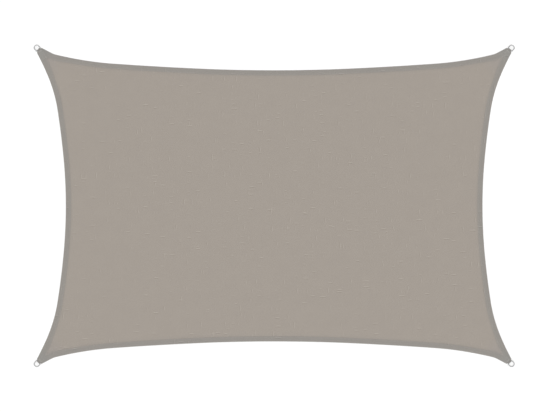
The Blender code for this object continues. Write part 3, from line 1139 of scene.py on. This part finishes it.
def webbing_material():
    """Woven polyester webbing, with fine diagonals across its ribs."""
    n = Nodes("sail_webbing", 0.62)
    n.shader.inputs["Sheen Weight"].default_value = 0.10
    _, y, _ = n.axes()
    lengthwise = n.math("MULTIPLY", n.attribute("run"), TURN / TWILL)
    crosswise = n.math("MULTIPLY", y, TURN / (2 * LOOP_WIDTH / RIBS))
    twill = n.math("SINE", n.math("ADD", lengthwise, crosswise))
    fibres = n.noise(n.stretched(2500.0, 9000.0, 2500.0))
    height = n.math("ADD", n.math("MULTIPLY", twill, 0.5), fibres)
    light = n.math("MULTIPLY_ADD", twill, 0.10, 1.0)
    light = n.math("ADD", light, n.swing(fibres, 0.20))
    return n.finish(n.scaled(WEBBING_COLOUR, light), n.bump(height, 0.00012, 0.8))


def thread_material():
    n = Nodes("sail_thread", 0.50)
    n.shader.inputs["Sheen Weight"].default_value = 0.10
    twist = n.noise(n.stretched(3000.0, 3000.0, 3000.0), 1.0)
    dark, pale = (tuple(factor * c for c in THREAD_COLOUR) for factor in (0.85, 1.1))
    return n.finish(n.mix(twist, dark, pale), n.bump(twist, 0.0001, 0.6))


def steel_material():
    """Stainless wire, tumbled: a slightly cloudy tone and small soft marks."""
    n = Nodes("sail_ring_steel", 0.28, 1.0)
    marks = n.noise(n.stretched(900.0, 900.0, 900.0), 3.0, 0.6)
    cloud = n.noise(n.stretched(160.0, 160.0, 160.0))
    colour = n.mix(cloud, (0.35, 0.35, 0.35), (0.43, 0.43, 0.43))
    n.put(n.shader.inputs["Roughness"], n.between(marks, 0.3, 0.7, 0.22, 0.36))
    return n.finish(colour, n.bump(marks, 0.00005, 0.5))


def floor_material():
    n = Nodes("plain_floor", 0.9)
    n.shader.inputs["Specular IOR Level"].default_value = 0.1
    grain = n.noise(n.stretched(3.0, 3.0, 3.0))
    return n.finish(n.mix(grain, (0.935, 0.935, 0.935), (0.945, 0.945, 0.945)))


# ---- the scene


def build_sail():
    cloth, knitted = sail_mesh(), sail_material()
    webbing, thread, steel = webbing_material(), thread_material(), steel_material()
    sail = new_object("sail_cloth", cloth.points, cloth.faces, knitted)
    for name, values in zip(("hem", "corner", "wear_and_highlight"), shares(cloth.points)):
        float_attribute(sail.data, name, values)

    on_it = []
    for number, row in enumerate(SEAM_ROWS):
        for side, height, rise in (("top", hem_top, RISE), ("under", under_stitch, -RISE_BELOW)):
            name = f"hem_stitching_{side}_{number + 1}"
            seam = stitches(name, [(SEAM_STITCH, rise, seam_ends(row, height))], thread)
            on_it.append(seam)
    loop, ring = loop_mesh(webbing), ring_mesh(steel)
    tipped = Matrix.Translation((-BAR_BACK, 0.0, BAR_HEIGHT)) @ Matrix.Rotation(ring_tilt(), 4, "Y")
    for corner_name, side in CORNERS.items():
        place = corner_matrix(*side)
        groups = by_length(pocket_ends(side, hem_top), RISE)
        groups += by_length(pocket_ends(side, under_stitch), -RISE_BELOW)
        tack = stitches(f"pocket_stitching_{corner_name}", groups, thread)
        webbing_piece = bpy.data.objects.new(f"webbing_loop_{corner_name}", loop)
        webbing_piece.matrix_world = place
        ring_piece = bpy.data.objects.new(f"ring_{corner_name}", ring)
        ring_piece.matrix_world = place @ tipped
        for piece in (webbing_piece, ring_piece):
            bpy.context.scene.collection.objects.link(piece)
        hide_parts(f"corner_loop_{corner_name}")
        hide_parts(f"d_ring_{corner_name}")
        on_it += [tack, webbing_piece, ring_piece]
    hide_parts("panel")
    for piece in [sail, *on_it]:
        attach(piece, "root")


SKY_FADES = (0.03, 0.25)  # between these heights, 0 at the horizon and 1 overhead,
SKY_STRENGTHS = (1.05, 0.77)  # the sky goes from the first of these to the second


def build_room():
    """A plain pale floor, a sky as bright as it at the horizon, and one broad, soft light."""
    size = 60.0
    corners = [(-size, -size, 0), (size, -size, 0), (size, size, 0), (-size, size, 0)]
    floor = new_object("floor", corners, [(0, 1, 2, 3)], floor_material())
    floor.location.z = -0.0003
    world = bpy.data.worlds.new("pale_sky")
    world.use_nodes = True
    tree = world.node_tree
    sky = tree.nodes["Background"]
    sky.inputs["Color"].default_value = (1.0, 1.0, 1.0, 1.0)
    height = tree.nodes.new("ShaderNodeSeparateXYZ")
    tree.links.new(tree.nodes.new("ShaderNodeTexCoord").outputs["Generated"], height.inputs[0])
    fade = tree.nodes.new("ShaderNodeMapRange")
    tree.links.new(height.outputs[2], fade.inputs[0])
    for socket, value in zip(fade.inputs[1:5], (*SKY_FADES, *SKY_STRENGTHS)):
        socket.default_value = value
    tree.links.new(fade.outputs[0], sky.inputs["Strength"])
    bpy.context.scene.world = world
    light = bpy.data.lights.new("broad_light", "SUN")
    light.energy = 1.20
    light.angle = math.radians(60)
    lamp = bpy.data.objects.new("broad_light", light)
    lamp.rotation_euler = (math.radians(20), 0.0, math.radians(-35))
    bpy.context.scene.collection.objects.link(lamp)


def build_camera():
    pixel = VIEW_WIDTH / PICTURE[0]
    camera = bpy.data.cameras.new("camera")
    camera.sensor_width = 36.0
    camera.lens = camera.sensor_width * EYE / VIEW_WIDTH
    camera.clip_end = 200.0
    eye = bpy.data.objects.new("camera", camera)
    right, up = PICTURE[0] / 2 - CENTRE_PIXEL[0], CENTRE_PIXEL[1] - PICTURE[1] / 2
    eye.location = (right * pixel, up * pixel, EYE)
    bpy.context.scene.collection.objects.link(eye)
    bpy.context.scene.camera = eye


build_sail()
build_room()
build_camera()
bpy.context.scene.view_settings.view_transform = "Standard"
bpy.context.view_layer.update()
